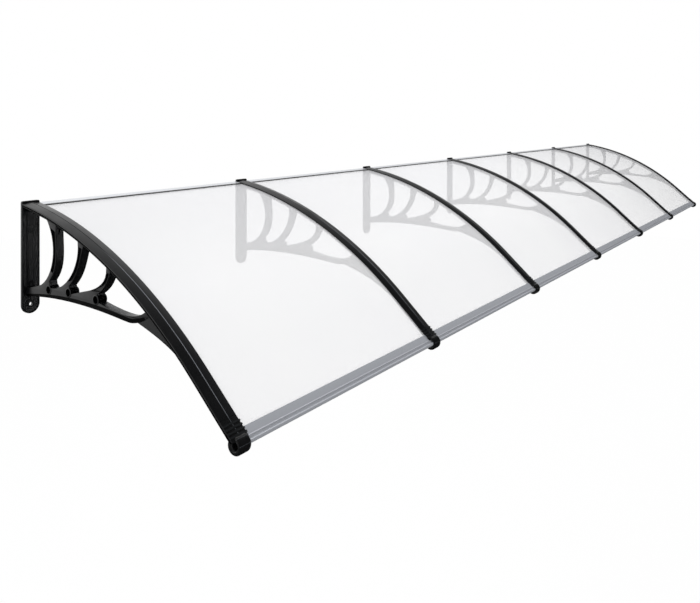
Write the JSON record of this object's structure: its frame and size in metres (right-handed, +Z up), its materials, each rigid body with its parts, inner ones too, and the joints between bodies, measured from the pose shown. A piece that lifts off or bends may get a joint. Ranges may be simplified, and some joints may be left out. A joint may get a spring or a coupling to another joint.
{
  "type": "polycarbonate door canopy",
  "caption": "Wall canopy with arched openwork plastic brackets, clear polycarbonate sheets between them, and aluminium rails along the front and rear edges.",
  "frame": {"origin": "on the back face of the middle bracket's wall plate, halfway up the plate", "axes": "+X along the wall, +Y into the wall, +Z up; the front edge lies towards -Y"},
  "size_m": [4.85, 0.8232, 0.4625],
  "materials": {
    "bracket_plastic": "black moulded plastic, fine satin texture",
    "end_cap_plastic": "black moulded plastic, satin",
    "polycarbonate": "clear solid polycarbonate, glossy",
    "front_aluminium": "satin anodised",
    "rear_aluminium": "satin anodised"
  },
  "bodies": {
    "root": {"bracket_1": "bracket_plastic", "bracket_2": "bracket_plastic", "bracket_3": "bracket_plastic", "bracket_4": "bracket_plastic", "bracket_5": "bracket_plastic", "bracket_6": "bracket_plastic", "bracket_7": "bracket_plastic", "end_cap_1": "end_cap_plastic", "end_cap_2": "end_cap_plastic", "end_cap_3": "end_cap_plastic", "end_cap_4": "end_cap_plastic", "end_cap_5": "end_cap_plastic", "end_cap_6": "end_cap_plastic", "end_cap_7": "end_cap_plastic", "sheet_1": "polycarbonate", "sheet_2": "polycarbonate", "sheet_3": "polycarbonate", "sheet_4": "polycarbonate", "sheet_5": "polycarbonate", "sheet_6": "polycarbonate", "front_rail_1": "front_aluminium", "front_rail_2": "front_aluminium", "front_rail_3": "front_aluminium", "front_rail_4": "front_aluminium", "front_rail_5": "front_aluminium", "front_rail_6": "front_aluminium", "rear_rail_1": "rear_aluminium", "rear_rail_2": "rear_aluminium", "rear_rail_3": "rear_aluminium", "rear_rail_4": "rear_aluminium", "rear_rail_5": "rear_aluminium", "rear_rail_6": "rear_aluminium"}
  },
  "joints": []
}
